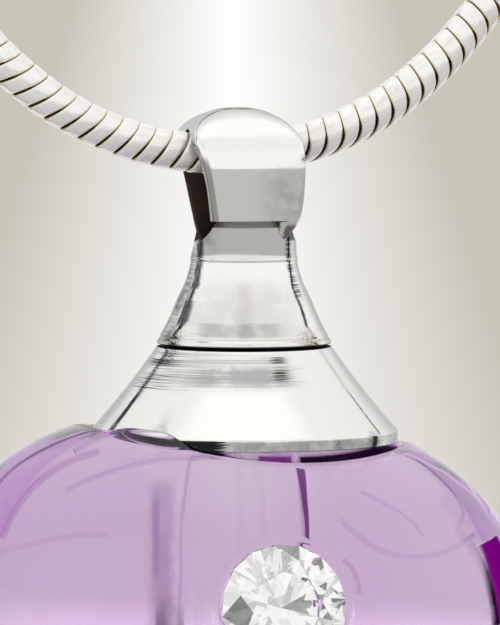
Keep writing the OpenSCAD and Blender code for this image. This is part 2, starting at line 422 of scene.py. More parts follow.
def satinChain(name, s):
    # bright satin links with a grey lengthwise grain, golden brown edges and painted shade on their
    # undersides
    material, tree, shader = newMaterial(name, s["plain"])
    edge = stored(tree, "edgeTone")
    under = stored(tree, "undersideShade")
    brushed = stored(tree, "brushed", "Vector")
    sparkle = node(tree, "ShaderNodeTexNoise", {"Vector": brushed, "Scale": 11.0, "Detail": 4.0,
                                                "Roughness": 0.6}).outputs["Fac"]
    cloud = node(tree, "ShaderNodeTexNoise", {"Vector": brushed, "Scale": 3.5, "Detail": 2.0}).outputs["Fac"]
    bright = mixColour(tree, spread(tree, cloud, 0.4, 0.7), s["bright"], s["dull"])
    bright = mixColour(tree, spread(tree, sparkle, 0.55, 0.75), bright, s["brushed"])
    # painted shade: the links' undersides are greyer
    bright = mixColour(tree, spread(tree, under, -0.6, 0.8, 0.0, 0.35), bright, s["under"])
    gold = mixColour(tree, spread(tree, edge, 0.7, 0.98), s["gold"], s["goldDark"])
    feed(tree, shader, {"Base Color": mixColour(tree, spread(tree, edge, 0.2, 0.75), bright, gold),
                        "Metallic": s["metallic"], "Roughness": spread(tree, sparkle, 0.3, 0.75, 0.16, 0.32),
                        "Normal": bump(tree, sparkle, 0.0009, bump(tree, cloud, 0.006))})
    return material


def darkCore(name, s):
    # the brown shadowed metal that shows between the links
    material, tree, shader = newMaterial(name, (0.05, 0.035, 0.025, 1))
    rust = spread(tree, grain(tree, 6.0, centre=(0, 0, 0)), 0.35, 0.7)
    tone = mixColour(tree, rust, s["core"], s["coreLight"])
    feed(tree, shader, {"Base Color": tone, "Metallic": 1, "Roughness": 0.5})
    return material


def screwSteel(name):
    material, tree, shader = newMaterial(name, (0.55, 0.55, 0.56, 1))
    cloud = grain(tree, 3.0)
    tone = mixColour(tree, cloud, (0.62, 0.62, 0.63, 1), (0.42, 0.42, 0.43, 1))
    rings = grain(tree, 1.0, (0.4, 0.4, 40), detail=2)
    feed(tree, shader,
         {"Base Color": tone, "Metallic": 1, "Roughness": spread(tree, cloud, 0.3, 0.7, 0.22, 0.4),
          "Normal": bump(tree, rings, 0.002)})
    return material


# Bail cap

capShape = {
    "bailTop": 9.44, "bailFoot": 3.55, "shoulderLevel": 8.2,
    # half width at level 5, how much it grows for each mm, and its limit
    "halfWidth": 1.82, "widening": 0.126, "widestHalf": 2.2,
    "crownLevel": 7.9, "crownPower": 2.25,
    # the foot stands right of the axis, the top left of it
    "shift": 0.10, "bend": 0.028, "bendTop": 8.6,
    "archCentre": 6.99, "archRadius": 2.45, "archLean": 7.0,
    # how square the bail is, seen from above
    "cornerFoot": 12.0, "cornerMiddle": 22.0, "cornerTop": 2.6,
    "slotTop": 6.60, "slotRadius": 1.95, "slotFoot": 5.72, "slotFootRadius": 1.72, "slotMouth": 0.07,
    "neckRadius": 2.1, "neckTop": 5.05, "neckFoot": 3.8, "filletRadius": 3.6, "ledge": 0.05,
    # the bail's overhang, the painted shadow band under it, and where its right end runs into the neck
    "overhang": 4.95, "bandFoot": 4.70, "bandRight": 1.56, "cornerFrom": (1.0, 1.4), "mergedFoot": 0.72,
    "coneSlope": 27.0, "seamRadius": 3.5, "boreRadius": 1.54, "boreTop": 2.6,
    "creaseLevel": 3.42, "creaseHeight": 0.035, "lipLevel": 0.27, "lipDepth": 0.04,
    "columns": 300,
}


def bailHalfWidth(z, s):
    # drawn in towards the foot, with a superellipse crown on top
    wide = np.minimum(s["halfWidth"] + s["widening"] * (z - 5), s["widestHalf"])
    rise = np.clip((z - s["crownLevel"]) / (s["bailTop"] - s["crownLevel"]), 0, 1)
    return wide * (1 - rise ** s["crownPower"]) ** (1 / s["crownPower"])


def bailHalfDepth(z, s):
    # a circle above, its tangent below
    lean = math.radians(s["archLean"])
    touch = s["archCentre"] - s["archRadius"] * math.sin(lean)
    circle = np.sqrt(np.clip(s["archRadius"] ** 2 - (z - s["archCentre"]) ** 2, 0, None))
    line = s["archRadius"] * math.cos(lean) - (touch - z) * math.tan(lean)
    return np.where(z > touch, circle, line)


def bailCentre(z, s):
    return s["shift"] - s["bend"] * (np.minimum(z, s["bendTop"]) - 4.9) ** 2


def bailPower(z, s):
    rise = s["cornerFoot"] + (s["cornerMiddle"] - s["cornerFoot"]) * smoothStep(z, 4.9, 5.9)
    return rise + (s["cornerTop"] - s["cornerMiddle"]) * smoothStep(z, 7.7, 9.35)


def makeBailForm(s):
    # one superellipse for each level: direction / (|cos|^m + |sin|^m)^(1/m), times half width and half
    # depth; the levels crowd towards the top as the square of the share left
    hang = s["overhang"]
    low = np.concatenate([np.linspace(s["bailFoot"], hang - 0.04, 22),
                          np.linspace(hang - 0.015, hang + 0.035, 7),
                          np.linspace(hang + 0.06, s["shoulderLevel"], 80)])
    high = s["bailTop"] - (s["bailTop"] - s["shoulderLevel"]) * np.linspace(1, 0, 52)[1:-1] ** 2
    z = np.concatenate([low, high])[:, None]
    turn = np.linspace(0, 2 * math.pi, s["columns"], endpoint=False)[None, :]
    power = bailPower(z, s)
    reach = (np.abs(np.cos(turn)) ** power + np.abs(np.sin(turn)) ** power) ** (-1 / power)
    x = bailCentre(z, s) + bailHalfWidth(z, s) * reach * np.cos(turn)
    y = bailHalfDepth(z, s) * reach * np.sin(turn)
    inset = 0.7 + 0.3 * smoothStep(z, hang - 0.015, hang + 0.03)   # inside the neck below the overhang
    merged = 1 - (1 - s["mergedFoot"]) * smoothStep(-z, -hang - 0.3, -s["bailFoot"] - 0.1)
    inset = inset + (merged - inset) * smoothStep(x, *s["cornerFrom"]) * smoothStep(-y, 0.6, 1.6)
    # the back runs straight down and ends in the neck
    back = 1 - 0.05 * smoothStep(-z, -hang, -4.0) - 0.22 * smoothStep(-z, -3.96, -s["bailFoot"])
    inset = inset + (back - inset) * smoothStep(y, -0.3, 0.5)
    grid = np.stack([x * inset, y * inset, np.broadcast_to(z, x.shape)], -1)
    top = (float(bailCentre(np.array(s["bailTop"]), s)), 0, s["bailTop"])
    return poledSurface("bailForm", grid, (s["shift"], 0, s["bailFoot"]), top, 50)


def capRadius(z, s):
    # the neck, the fillet's quarter round, then the straight cone down to the seam
    slope = math.radians(s["coneSlope"])
    bendFoot = s["neckFoot"] - s["filletRadius"] * math.sin(slope)
    bendRadius = s["neckRadius"] + s["filletRadius"] * (1 - math.cos(slope))
    drop = np.clip(s["neckFoot"] - z, 0, s["filletRadius"] * math.sin(slope))
    bend = s["neckRadius"] + s["filletRadius"] - np.sqrt(s["filletRadius"] ** 2 - drop ** 2)
    cone = bendRadius + (s["seamRadius"] - bendRadius) * np.clip((bendFoot - z) / (bendFoot - 0.08), 0, 1)
    radius = np.where(z > bendFoot, bend, cone)
    crease = s["creaseHeight"] * np.exp(-((z - s["creaseLevel"]) / 0.05) ** 2)
    lip = s["lipDepth"] * np.exp(-((z - s["lipLevel"]) / 0.05) ** 2)
    flare = 0.05 * smoothStep(z, 0.1, 0.8) * (1 - smoothStep(z, 0.82, 1.9))
    return radius + crease - lip - flare


def makeTurning(s):
    stretches = [(0.1, 0.5, 18), (0.54, 3.2, 54), (3.23, 3.68, 24), (3.72, 4.6, 20),
                 (4.64, s["neckTop"] - s["ledge"] - 0.02, 14)]
    levels = np.concatenate([np.linspace(*stretch) for stretch in stretches])
    wall = np.stack([capRadius(levels, s), levels], -1)
    bore, top = s["boreRadius"], s["neckTop"]
    seam = s["seamRadius"]
    start = softenedOutline([(bore, s["boreTop"], 0), (bore, 0.0, 0.06), (seam, 0.0, 0.07),
                             (seam, 0.1, 0)])[:-1]
    neck = s["neckRadius"]
    end = [(neck - s["ledge"], top), (0.4, top)]
    profile = np.vstack([[(0.5, s["boreTop"])], start, wall, end])
    return poledSurface("capTurning", turnedGrid(profile, 240), (0, 0, s["boreTop"]), (0, 0, top), 30)


def slotField(y, z, s):
    # distance outside the slot's outline, the hull of two circles that stand one above the other
    height = s["slotTop"] - s["slotFoot"]
    b = (s["slotRadius"] - s["slotFootRadius"]) / height
    a = math.sqrt(1 - b * b)
    across, down = np.abs(y), s["slotTop"] - z
    k = -b * across + a * down
    beside = a * across + b * down - s["slotRadius"]
    above = np.hypot(across, down) - s["slotRadius"]
    below = np.hypot(across, down - height) - s["slotFootRadius"]
    return np.where(k < 0, above, np.where(k > a * height, below, beside))


def slotOutline(s, arcPoints=60, linePoints=28):
    # points and outward normals (across, up) once round the same hull
    top, topRadius, foot, footRadius = s["slotTop"], s["slotRadius"], s["slotFoot"], s["slotFootRadius"]
    lean = math.asin((topRadius - footRadius) / (top - foot))
    upper = np.linspace(-lean, math.pi + lean, arcPoints)
    lower = np.linspace(math.pi + lean, 2 * math.pi - lean, arcPoints)
    arcTop = np.stack([topRadius * np.cos(upper), top + topRadius * np.sin(upper)], -1)
    arcFoot = np.stack([footRadius * np.cos(lower), foot + footRadius * np.sin(lower)], -1)
    share = np.linspace(0, 1, linePoints + 2)[1:-1, None]
    left = arcTop[-1] + (arcFoot[0] - arcTop[-1]) * share
    right = arcFoot[-1] + (arcTop[0] - arcFoot[-1]) * share
    angles = np.concatenate([upper, np.full(linePoints, math.pi + lean), lower, np.full(linePoints, -lean)])
    return np.vstack([arcTop, left, arcFoot, right]), np.stack([np.cos(angles), np.sin(angles)], -1)


def makeSlotCutter(s):
    # the slot's outline carried across the bail, opening out where it leaves each side
    outline, normal = slotOutline(s)
    y, z = outline[:, 0], outline[:, 1]
    power = bailPower(z, s)
    inDepth = np.clip(np.abs(y) / np.maximum(bailHalfDepth(z, s), 0.01), 0, 0.995)
    bail = bailHalfWidth(z, s) * (1 - inDepth ** power) ** (1 / power)
    neck = np.sqrt(np.clip(s["neckRadius"] ** 2 - y ** 2, 0, None))
    inNeck = smoothStep(-z, -s["neckTop"] - 0.12, -s["neckTop"] + 0.06) * (1 - smoothStep(y, -0.3, 0.5))
    mouth = s["slotMouth"]
    steps = [(0.7, 0.7 + mouth), (0.0, mouth), (-mouth * 0.6, mouth * 0.35), (-mouth * 1.4, 0.0)]
    rows = []
    for side, order in ((-1, steps), (1, steps[::-1])):
        face = side * bailCentre(z, s) + bail
        face = face + (np.maximum(face, neck) - face) * inNeck
        for out, grow in order:
            rows.append(np.stack([side * (face + out), y + normal[:, 0] * grow, z + normal[:, 1] * grow], -1))
    middle = s["archCentre"] - 0.7
    return poledSurface("slotCutter", np.stack(rows), (-4.0, 0, middle), (4.0, 0, middle), 180)


def markShadeAndOxide(piece, shadeAndOxideField):
    # stores how dark each point's metal is, oxide and painted shade in hollows, in the seam and under
    # overhangs, worked out from its place about the seam's middle
    mesh = piece.data
    place = np.empty(len(mesh.vertices) * 3)
    mesh.vertices.foreach_get("co", place)
    place = (place.reshape(-1, 3) - seamCentre) / mm
    storeValues(piece, "oxideAndShade", shadeAndOxideField(place))


def capShadeAndOxide(p, s=capShape):
    # oxide and painted shade: the slot's inside, the underside at the seam, and the painted shadow in the
    # corner under the bail's front and back
    x, y, z = p.T
    # painted shade inside the slot
    inSlot = 1 - smoothStep(slotField(y, z, s), 0.004, 0.03)
    inSlot = inSlot * (np.abs(x - bailCentre(z, s)) < 3)
    radius = np.hypot(x, y)
    underside = 1 - smoothStep(z, 0.02, 0.05)
    across = acrossPicture(x, y)
    # painted shadow band on the neck under the bail's overhang
    band = smoothStep(z, s["bandFoot"] - 0.02, s["bandFoot"] + 0.03) * (z < s["overhang"] + 0.012)
    band = band * (inSlot < 0.5) * (radius < s["neckRadius"] + 0.02)
    ends = 0.74 + 0.2 * smoothStep(-across, 0.6, 1.1) + 0.2 * smoothStep(across, 1.0, 1.4)
    band = band * ends * (1 - smoothStep(across, s["bandRight"], s["bandRight"] + 0.16)) * (y < 0)
    # painted shade: the cut's far edge at the left is as dark as its inside
    left = x < bailCentre(z, s) - 0.88 * bailHalfWidth(z, s)
    farEdge = left * smoothStep(z, 3.96, 4.02) * (1 - smoothStep(z, 7.3, 7.7)) * np.where(y > 0, 1.0, 0.5)
    farNeck = (x < -1) * (y > 0) * (y < 1.8) * smoothStep(z, 3.98, 4.02) * (z < s["neckTop"] + 0.02)
    # painted shade where the bail's right end runs into the neck
    merged = (x > 1.25) * (y < -0.6) * smoothStep(z, 4.2, 4.3) * (1 - smoothStep(z, 4.74, 4.88)) * 0.7
    merged = merged * (radius > s["neckRadius"] + 0.03)
    farEdge = farEdge * (radius > s["neckRadius"] + 0.05)
    return np.maximum.reduce([inSlot, underside, band, farEdge, farNeck, merged])


def makeCap(s):
    cap = makeBailForm(s)
    cap.name = cap.data.name = "bailCap"
    boolean(cap, makeTurning(s), "UNION", 28)
    boolean(cap, makeSlotCutter(s), "DIFFERENCE", 28)
    markShadeAndOxide(cap, capShadeAndOxide)
    return cap


bailCap = makeCap(capShape)
capLook = {
    "lines": (0.05, 3.3), "lineDepth": 0.0012, "waveDepth": 0.02,
    # painted reflections and painted shade: grey clouds and bands, dark streaks near both edges, the darker
    # right of the bail's face
    "shadeAndReflectionPatches": [
        ((0.2, 2.3), (-0.9, 0.8), 0.84, 0.8, 0.3, 0.15, 0.1, usualNoise),
        ((0.4, 1.6), (-0.1, 0.62), 0.85, 0.4, 0.25, 0.1, 0.1, (0.3, 0.45, 0.6, 1.0)),
        ((3.46, 5.0), (-1.3, 1.3), 0.84, 0.06, 0.14, 0.3, 0.55, (0.0, 0.01, 1.0, 1.0)),
        ((0.42, 0.95), (-0.57, 0.44), 0.6, 0.04, 0.14, 0.3, 0.2, usualNoise),
        ((0.1, 4.1), (-1.2, -0.87), 0.3, 0.1, 0.03, 0.5, 0.1, (0.38, 0.6, 0.25, 1.0)),
        ((0.1, 4.1), (0.93, 1.2), 0.74, 0.1, 0.03, 0.5, 0.1, (0.38, 0.6, 0.5, 1.0)),
        ((3.45, 4.75), (-1.2, -0.62), 0.42, 0.1, 0.25, 0.1, 0.1, (0.4, 0.6, 0.1, 1.0)),
        ((1.9, 4.75), (0.8, 0.9), 0.16, 0.2, 0.03, 0.9, 0.12, (0.42, 0.52, 0.0, 0.9)),
        ((4.15, 4.8), (0.79, 0.98), 0.16, 0.05, 0.03, 0.1, 0.05, (0.0, 0.01, 1.0, 1.0)),
        ((4.9, 7.0), (0.4, 2.0), 0.72, 0.6, 0.3, 0.0, 0.0, usualNoise)],
    "stains": [{"place": (1.92, -2.33, 7.45), "size": 0.35},
               {"place": (2.17, -2.74, 0.12), "size": 1.3, "colour": (0.26, 0.17, 0.06, 1)},
               {"place": (-3.25, -1.3, 0.12), "size": 1.3, "colour": (0.10, 0.065, 0.03, 1)}],
}
dress(bailCap, polishedSilver("polishedCap", capLook), "cap", "polished_silver", "cap")
print("cap made,", len(bailCap.data.polygons), "faces")


# Collar and screw

collarShape = {
    "seamRadius": 3.5, "rimRadius": 6.17, "top": -0.11, "shoulder": -3.48, "foot": -3.94,
    "sag": 0.09, "spigotRadius": 2.45, "spigotFoot": -5.64, "boreRadius": 1.54,
    "columns": 256, "flareRows": 64,
}
screwShape = {
    "crestRadius": 1.5, "rootRadius": 1.24, "pitch": 0.5, "top": 2.5, "foot": -3.16, "point": 0.25,
    "columns": 72, "rowsPerTurn": 18,
}
collarLook = {
    "lines": (-1.9, -0.1), "lineDepth": 0.0045, "waveDepth": 0.006,
    # painted reflections and painted shade: grey bands, dark streaks near the edges, and the dark wedge on
    # the rim band
    "shadeAndReflectionPatches": [
        ((-1.6, -0.22), (-0.93, 0.46), 0.66, 0.12, 0.14, 0.9, 0.55, (0.4, 0.6, 0.1, 1.0)),
        ((-1.45, -0.7), (-0.44, 0.44), 0.48, 0.22, 0.14, 0.3, 0.55, usualNoise),
        ((-1.7, -0.22), (-0.95, -0.62), 0.1, 0.1, 0.14, 1.0, 0.55, (0.5, 0.62, 0.0, 1.0)),
        ((-1.35, -0.3), (0.33, 0.47), 0.06, 0.1, 0.05, 1.0, 0.55, (0.48, 0.58, 0.0, 1.0)),
        ((-3.5, -0.16), (-1.2, -0.95), 0.74, 0.04, 0.02, 0.9, 0.05, (0.4, 0.6, 0.3, 1.0)),
        ((-3.5, -0.16), (0.95, 1.2), 0.94, 0.04, 0.02, 0.3, 0.05, usualNoise),
        ((-4.1, -3.5), (-0.16, 1.1), 0.62, 0.03, 0.14, 0.0, 0.0, usualNoise),
        ((-4.1, -3.5), (-0.42, -0.14), 0.03, 0.02, 0.02, 0.5, 0.3, (0.36, 0.46, 0.8, 1.0))],
    "stains": [{"place": (-3.3, -1.5, -0.4), "size": 0.9},
               {"place": (2.6, -5.6, -3.75), "size": 0.5, "amount": 0.6},
               {"place": (4.4, -4.3, -3.75), "size": 0.9, "amount": 0.6}],
}


def makeCollar(s):
    # a closed outline turned about the axis: bore, top, flare, rim band, underside, spigot
    share = np.linspace(0, 1, s["flareRows"])[1:-1]
    straight = s["seamRadius"] + (s["rimRadius"] - s["seamRadius"]) * share
    flareRadius = straight - s["sag"] * 4 * share * (1 - share)
    flare = np.stack([flareRadius, s["top"] + (s["shoulder"] - s["top"]) * share], -1)
    rim, bore, spigot = s["rimRadius"], s["boreRadius"], s["spigotRadius"]
    start = softenedOutline([(bore, -3.0, 0), (bore, s["top"], 0.05), (s["seamRadius"], s["top"], 0.06),
                             tuple(flare[0]) + (0,)])[:-1]
    end = softenedOutline([tuple(flare[-1]) + (0,), (rim, s["shoulder"], 0.05), (rim, s["foot"], 0.06),
                           (spigot, s["foot"], 0.0), (spigot, s["spigotFoot"], 0.06),
                           (bore, s["spigotFoot"], 0.04), (bore, -4.0, 0)])[1:]
    profile = np.vstack([start, flare, end])
    grid = turnedGrid(profile, s["columns"])
    quads = gridQuads(*grid.shape[:2], closeRows=True)
    collar = addObject("flaredCollar", onPendant(grid), [quads], 28)
    markShadeAndOxide(collar, collarShadeAndOxide)
    return collar


def collarShadeAndOxide(p, s=collarShape):
    # oxide and painted shade: the top at the seam, the bore, the underside and the spigot
    radius, z = np.hypot(p[:, 0], p[:, 1]), p[:, 2]
    top = smoothStep(z, s["top"] - 0.025, s["top"] - 0.008)
    rim = smoothStep(radius, s["rimRadius"] - 0.05, s["rimRadius"] - 0.01)
    # painted shade on the underside, which sits in the glass under the rim
    underside = (z < s["foot"] + 0.02) * (1 - rim)
    across = acrossPicture(p[:, 0], p[:, 1])
    underside = underside * np.maximum(smoothStep(across, -2.75, -2.55), p[:, 1] > 0)
    inBore = radius < s["boreRadius"] + 0.02
    return np.maximum.reduce([top, underside, inBore * 1.0])


def makeScrew(s):
    # a right-hand thread: the radius is a rounded triangle wave of height / pitch - turn
    rows = int((s["top"] - s["foot"]) / s["pitch"] * s["rowsPerTurn"])
    turn = np.linspace(0, 2 * math.pi, s["columns"], endpoint=False)[None, :]
    z = np.linspace(s["foot"], s["top"], rows)[:, None]
    phase = (z / s["pitch"] - turn / (2 * math.pi)) % 1
    flank = smoothStep(1 - np.abs(2 * phase - 1), 0.12, 0.88)
    radius = s["rootRadius"] + (s["crestRadius"] - s["rootRadius"]) * flank
    room = np.minimum(z - s["foot"], s["top"] - z)
    radius = np.minimum(radius, s["crestRadius"] - s["point"] + room)
    grid = np.stack([radius * np.cos(turn), radius * np.sin(turn), np.broadcast_to(z, radius.shape)], -1)
    return poledSurface("threadedScrew", grid, (0, 0, s["foot"]), (0, 0, s["top"]), 50)


flaredCollar = makeCollar(collarShape)
dress(flaredCollar, polishedSilver("polishedCollar", collarLook), "vessel", "polished_silver", "collar")
threadedScrew = makeScrew(screwShape)
dress(threadedScrew, screwSteel("screwSteel"), "screw", "screw_steel", "screw")
print("collar and screw made")


# Glass body

glassShape = {
    "halfWidth": 12.4, "halfDepth": 9.8, "middle": -12.7, "rise": 10.0, "drop": 10.4,
    "shoulderPower": 2.5, "bottomPower": 2.4, "planPower": 2.0, "lean": 2.5, "leanLevel": -3.94,
    "shift": 0.4, "edgeRadius": 6.3, "wallRadius": 6.24, "land": -3.98, "chamberRadius": 2.5,
    "chamberFoot": -19.2,
    # the brim stands up over the rim at the left of the front and lies under it elsewhere
    "brimDrop": -0.1, "brimLift": 0.4, "brimFrom": (196, 216), "brimTo": (228, 243), "brimReach": (6.3, 6.8),
    "brimMore": 0.12, "brimMoreFrom": (212, 228),
    "chamberNeckFoot": -4.1, "chamberWide": 3.1, "chamberWideLevel": -4.9, "chamberShift": -0.45,
    "columns": 320, "lowerRows": 60, "upperRows": 90, "frontCrowding": 0.45,
}
stoneShape = {
    "radius": 2.5, "tableRadius": 1.4, "crown": 0.8, "girdle": 0.12, "pavilion": 2.15,
    "place": (-0.4, -9.4, -9.8), "tilt": 6.0, "seatGap": 0.05,
    "starRadius": 1.9, "lowerRadius": 0.55,
}
# dark is the painted dark reflection on some facets
stoneLook = {"plain": (0.95, 0.96, 1.0, 1), "ior": 2.16, "dark": (0.02, 0.02, 0.03, 1), "clear": (1, 1, 1, 1)}
# painted reflection lines and flow lines of the hand-worked glass, on its side towards the camera, each an
# arc through three places in the 500 x 625 picture: width in pixels, how strongly it tints, how deep it is
# pressed in mm;
# core is the share of the width with the full tint, and the dark one is the painted deep colour at the right
# edge
glassFlowAndReflections = [
    {"pixels": ((4, 545), (43, 483), (98, 455)), "width": 4.5, "tint": 0.75, "press": 0.02},
    {"pixels": ((80, 453), (96, 444), (121, 436)), "width": 4.5, "tint": 0.7, "press": 0.02},
    {"pixels": ((92, 479), (143, 463), (247, 460)), "width": 3.5, "tint": 0.5, "press": 0.02},
    {"pixels": ((2, 552), (48, 537), (130, 530)), "width": 4, "tint": 0.3, "press": 0.02},
    {"pixels": ((387, 453), (441, 469), (493, 541)), "width": 3.5, "tint": 0.8, "press": 0.02},
    {"pixels": ((335, 510), (400, 554), (470, 541)), "width": 4, "tint": 0.4, "press": 0.02},
    {"pixels": ((362, 493), (394, 511), (425, 543)), "width": 2.5, "tint": 0.4, "press": 0.01},
    {"pixels": ((342, 555), (353, 570), (358, 590)), "width": 4, "tint": 0.6, "press": 0.01},
    {"pixels": ((438, 500), (462, 524), (476, 548)), "width": 12, "tint": 0.3, "press": 0.0},
    {"pixels": ((10, 560), (60, 515), (170, 500)), "width": 44, "tint": 0.12, "press": 0.0},
    {"pixels": ((498, 553), (507, 586), (513, 640)), "width": 25, "core": 0.65, "tint": 1.0, "press": 0.0,
     "dark": True, "forward": (2.2, 2.8)},
]
# painted upright shades where the chamber behind shows through: middle and half width in pixels, top and
# bottom rows, how strongly each tints, how far its edges wander in pixels
glassShades = [
    {"middle": 163, "half": 18, "rows": (480, 700), "tint": 0.62, "ragged": 3},
    {"middle": 158, "half": 5, "rows": (495, 570), "tint": 0.95, "ragged": 1.5},
    {"middle": 165, "half": 10, "rows": (528, 700), "tint": 0.5, "ragged": 8},
]
glassLook = {
    "plain": (0.74, 0.62, 0.8, 0.6), "ior": 1.5, "absorb": (0.66, 0.20, 0.80, 1), "density": 37.0,
    "flow": (0.52, 0.28, 0.62, 1), "shade": (0.34, 0.20, 0.40, 1),
    "dark": (0.17, 0.014, 0.18, 1), "darkSheen": (0.5, 0.10, 0.52, 1),
    # how far forward the painted lines fade in, in mm, and how much further that is for each mm right
    "front": (0.3, 0.6), "frontTurn": 0.078,
    "ringGap": 0.22, "ringHalf": 0.24, "ringHeight": 0.05, "waveDepth": 0.05,
}
# the land under the rim, seen from the front: its colours and the stretches across, in mm
rimShadow = {
    "black": (0.0006, 0.00002, 0.002, 1), "magenta": (0.14, 0.006, 0.14, 1), "magentaFrom": (0.6, 1.9),
    "clear": [(-9, -2.6), (-0.75, 0.55), (1.93, 2.2)], "clearShare": 0.9,
    # radii where it begins and ends, how far forward it begins, and the level where it ends
    "inner": (5.0, 5.4), "outer": (6.255, 6.275), "forward": (0.5, 1.5), "top": (-3.92, -3.86),
}



def onStoneSeat(points, s):
    # turns +Z to the front with a slight upward tilt, then moves to the seat
    turn = math.radians(90 - s["tilt"])
    x, y, z = points[..., 0], points[..., 1], points[..., 2]
    turned = np.stack([x, y * math.cos(turn) - z * math.sin(turn), y * math.sin(turn) + z * math.cos(turn)],
                      -1)
    return turned + np.array(s["place"])


def glassSurface(share, plan, s):
    # share is an angle, -90 degrees at the bottom pole and +90 at the top; plan runs round.
    # Superellipse in height, superellipse in plan, then the lean about the collar's foot.
    power = np.where(share < 0, s["bottomPower"], s["shoulderPower"])
    tall = np.where(share < 0, s["drop"], s["rise"])
    wide = np.abs(np.cos(share)) ** (2 / power)
    z = tall * signedPower(np.sin(share), 2 / power)
    x = s["halfWidth"] * wide * signedPower(np.cos(plan), 2 / s["planPower"])
    y = s["halfDepth"] * wide * signedPower(np.sin(plan), 2 / s["planPower"])
    # slow unevenness of hand-worked glass
    uneven = 1 + 0.004 * np.cos(share) * np.sin(3 * plan + 2.2 * share + 0.6)
    uneven = uneven + 0.003 * np.sin(2 * plan - 3 * share)
    x, y = x * uneven, y * uneven
    x, z = x - s["shift"], z + s["middle"] - s["leanLevel"]
    lean = math.radians(s["lean"])
    x, z = x * math.cos(lean) + z * math.sin(lean), z * math.cos(lean) - x * math.sin(lean)
    # the brim's rise and fall round the collar
    turn = np.degrees(np.arctan2(y, x)) % 360
    high = s["brimLift"] * smoothStep(turn, *s["brimFrom"])
    high = high + s["brimMore"] * smoothStep(turn, *s["brimMoreFrom"])
    lift = s["brimDrop"] + high * (1 - smoothStep(turn, *s["brimTo"]))
    lift = lift * (1 - smoothStep(np.hypot(x, y), *s["brimReach"]))
    return np.stack([x, y, z + s["leanLevel"] + np.where(share > 0, lift, 0)], -1)


def makeGlass(s, stone):
    # columns crowd towards the front, where the stone's seat is
    even = np.linspace(0, 2 * math.pi, s["columns"], endpoint=False) + 0.01
    plan = (even + s["frontCrowding"] * np.cos(even))[None, :]
    low = np.zeros(plan.shape)
    high = np.full(plan.shape, math.pi / 2)
    for _ in range(40):
        middle = (low + high) / 2
        p = glassSurface(middle, plan, s)
        cut = np.hypot(p[..., 0], p[..., 1]) < s["edgeRadius"]
        low, high = np.where(cut, low, middle), np.where(cut, middle, high)
    brim = high
    lower = np.linspace(-math.pi / 2, 0, s["lowerRows"] + 1)[1:-1, None] + 0 * plan
    upper = np.linspace(0, 1, s["upperRows"])[:, None] * brim * 0.994
    outer = glassSurface(np.vstack([lower, upper]), plan, s)
    edge = glassSurface(brim, plan, s)[0]
    edgeLevel = edge[:, 2]
    heading = edge[:, :2] / np.hypot(edge[:, 0], edge[:, 1])[:, None]
    dip = np.clip(s["land"] - edgeLevel + 0.07, 0, None)

    def inside(radius, level):
        radius, level = radius + 0 * edgeLevel, level + 0 * edgeLevel
        return np.concatenate([heading * radius[:, None], level[:, None]], -1)

    def landLevel(radius):
        return s["land"] - dip * smoothStep(np.array(radius), 4.4, s["wallRadius"] - 0.04)

    before, after = outer[-1], inside(s["wallRadius"], edgeLevel - 0.06)
    rounded = [before * (1 - t) ** 2 + 2 * edge * t * (1 - t) + after * t ** 2
               for t in np.linspace(0, 1, 6)[1:]]
    foot = landLevel(s["wallRadius"]) - 0.004
    wall = [inside(s["wallRadius"] - 0.005 * t, (edgeLevel - 0.06) * (1 - t) + foot * t)
            for t in (0.33, 0.66, 1.0)]
    reach = np.concatenate([np.linspace(s["wallRadius"] - 0.04, 4.4, 9),
                            np.linspace(4.0, s["chamberRadius"] + 0.06, 4)])
    land = [inside(r, landLevel(r)) for r in reach]
    bore, wide, end = s["chamberRadius"], s["chamberWide"], s["chamberFoot"]
    levels = np.linspace(s["land"] - 0.06, end + wide, 40)
    ball = np.linspace(0, math.pi / 2, 20)[1:-1]
    opening = smoothStep(-levels, -s["chamberNeckFoot"], -s["chamberWideLevel"])
    radii = np.concatenate([bore + (wide - bore) * opening, wide * np.cos(ball)])
    heights = np.concatenate([levels, end + wide - wide * np.sin(ball)])
    aside = s["chamberShift"] * np.concatenate([opening, np.ones(len(ball))])
    chamber = np.stack([heading[None, :, 0] * radii[:, None] + aside[:, None],
                        heading[None, :, 1] * radii[:, None],
                        np.broadcast_to(heights[:, None], (len(radii), len(edgeLevel)))], -1)
    grid = np.vstack([outer, np.stack(rounded), np.stack(wall), np.stack(land), chamber])
    bottom = glassSurface(np.array(-math.pi / 2), np.array(0.0), s)
    body = poledSurface("glassBody", grid, bottom, (s["chamberShift"], 0, end), 50)
    boolean(body, makeSeatCutter(stone), "DIFFERENCE", 35)
    return body


def makeSeatCutter(s):
    # the stone's cone a little larger, with a straight mouth in front
    gap = s["seatGap"]
    seat = s["radius"] + gap
    turn = np.linspace(0, 2 * math.pi, 128, endpoint=False)
    apex = -s["pavilion"] - 2 * gap
    profile = np.array([(seat * k, apex + (-s["girdle"] / 2 - apex) * k) for k in (0.25, 0.5, 0.75, 1.0)]
                       + [(seat, 0.4), (seat, 2.0)])
    grid = np.stack([profile[:, :1] * np.cos(turn), profile[:, :1] * np.sin(turn),
                     np.broadcast_to(profile[:, 1:], (len(profile), len(turn)))], -1)
    poles = onStoneSeat(np.array([(0, 0, apex), (0, 0, 2.0)]), s)
    return poledSurface("seatCutter", onStoneSeat(grid, s), poles[0], poles[1], 180)


def picturePlace(pixel, depth=8.0):
    # across and level in mm of a place in the picture on a surface that stands forward by depth
    s = cameraSettings
    lift = math.sin(math.radians(s["elevation"])) * depth
    across = (pixel[0] - s["seamPixel"][0]) / s["pixelsPerMm"]
    return np.array([across, (s["seamPixel"][1] - pixel[1]) / s["pixelsPerMm"] + lift])


